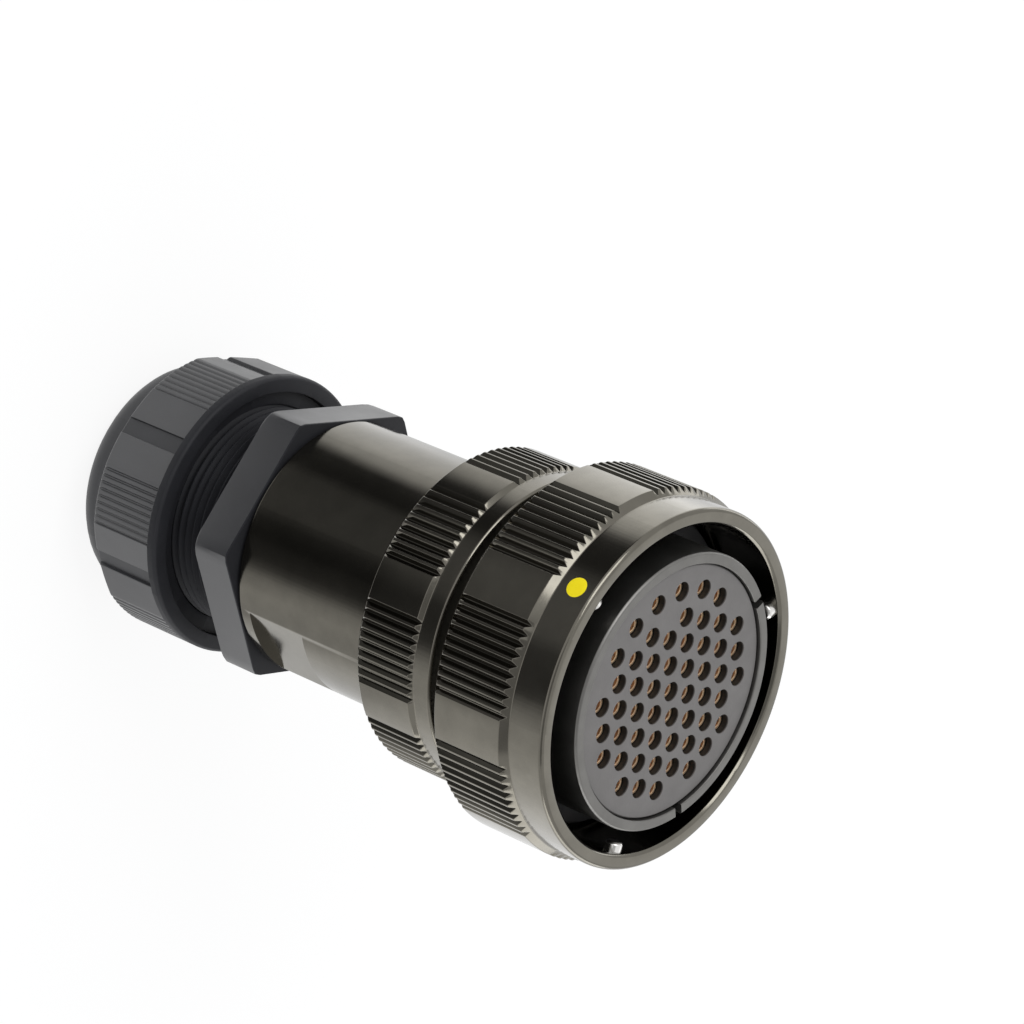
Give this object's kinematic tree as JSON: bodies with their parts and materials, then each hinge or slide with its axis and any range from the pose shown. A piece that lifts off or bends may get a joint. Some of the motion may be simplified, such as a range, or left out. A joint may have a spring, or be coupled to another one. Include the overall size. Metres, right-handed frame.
{
  "type": "bayonet cable socket connector",
  "caption": "Round reverse-bayonet cable connector with socket contacts, a grooved coupling ring, a straight endbell and a plastic cable gland.",
  "frame": {"origin": "centre of the gland nut's flat rear rim, which stands on the floor", "axes": "+Z along the connector's axis, from the cable end up to the mating face; +X and +Y lie across it, with the index dot at about 147 degrees from +X towards +Y"},
  "size_m": [0.0598, 0.0598, 0.1105],
  "materials": {
    "ring_plating": "black-olive conductive plating over turned aluminium, glossy",
    "shell_plating": "dull grey-olive plating on the mating shell",
    "pin_steel": "bright turned stainless steel",
    "spring_steel": "spring steel strip",
    "dot_paint": "yellow marking enamel",
    "face_rubber": "mid-grey insert rubber",
    "hard_insert": "moulded insulator",
    "contact_plate": "plated copper alloy contacts",
    "seal_rubber": "black sealing rubber",
    "gland_plastic": "satin dark grey polyamide"
  },
  "bodies": {
    "plug": {"plug_shell": "shell_plating", "retaining_clip": "spring_steel", "interface_seal": "seal_rubber", "front_insert": "face_rubber", "rear_insert": "hard_insert", "wire_grommet": "seal_rubber", "socket_contacts": "contact_plate", "grommet_ferrule": "spring_steel", "endbell": "ring_plating", "endbell_gasket": "seal_rubber", "gland_o_ring": "seal_rubber", "gland_body": "gland_plastic", "gland_seal": "seal_rubber", "wave_spring": "spring_steel"},
    "float": {"thrust_washer": "spring_steel"},
    "ring": {"coupling_ring": "ring_plating", "bayonet_pin_1": "pin_steel", "bayonet_pin_2": "pin_steel", "bayonet_pin_3": "pin_steel", "index_dot": "dot_paint"},
    "press": {"slip_washer": "hard_insert"},
    "nut": {"gland_nut": "gland_plastic"}
  },
  "joints": [
    {"name": "ring_float", "type": "slide", "parent": "plug", "child": "float", "axis": [0, 0, 1], "range_m": [0, 0.001], "stiffness_N_per_m": 4000, "springref_m": -0.001, "deforming": ["wave_spring"]},
    {"name": "ring_turn", "type": "hinge", "parent": "float", "child": "ring", "pos_m": [0, 0, 0.099], "axis": [0, 0, 1], "continuous": true},
    {"name": "gland_press", "type": "slide", "parent": "plug", "child": "press", "axis": [0, 0, 1], "range_m": [0, 0.003], "deforming": ["gland_seal"]},
    {"name": "nut_turn", "type": "hinge", "parent": "press", "child": "nut", "pos_m": [0, 0, 0.011], "axis": [0, 0, 1], "range_deg": [0, 720]}
  ],
  "couplings": [
    {"joint": "gland_press", "follows": "nut_turn", "m_per_rad": 0.00023873}
  ]
}
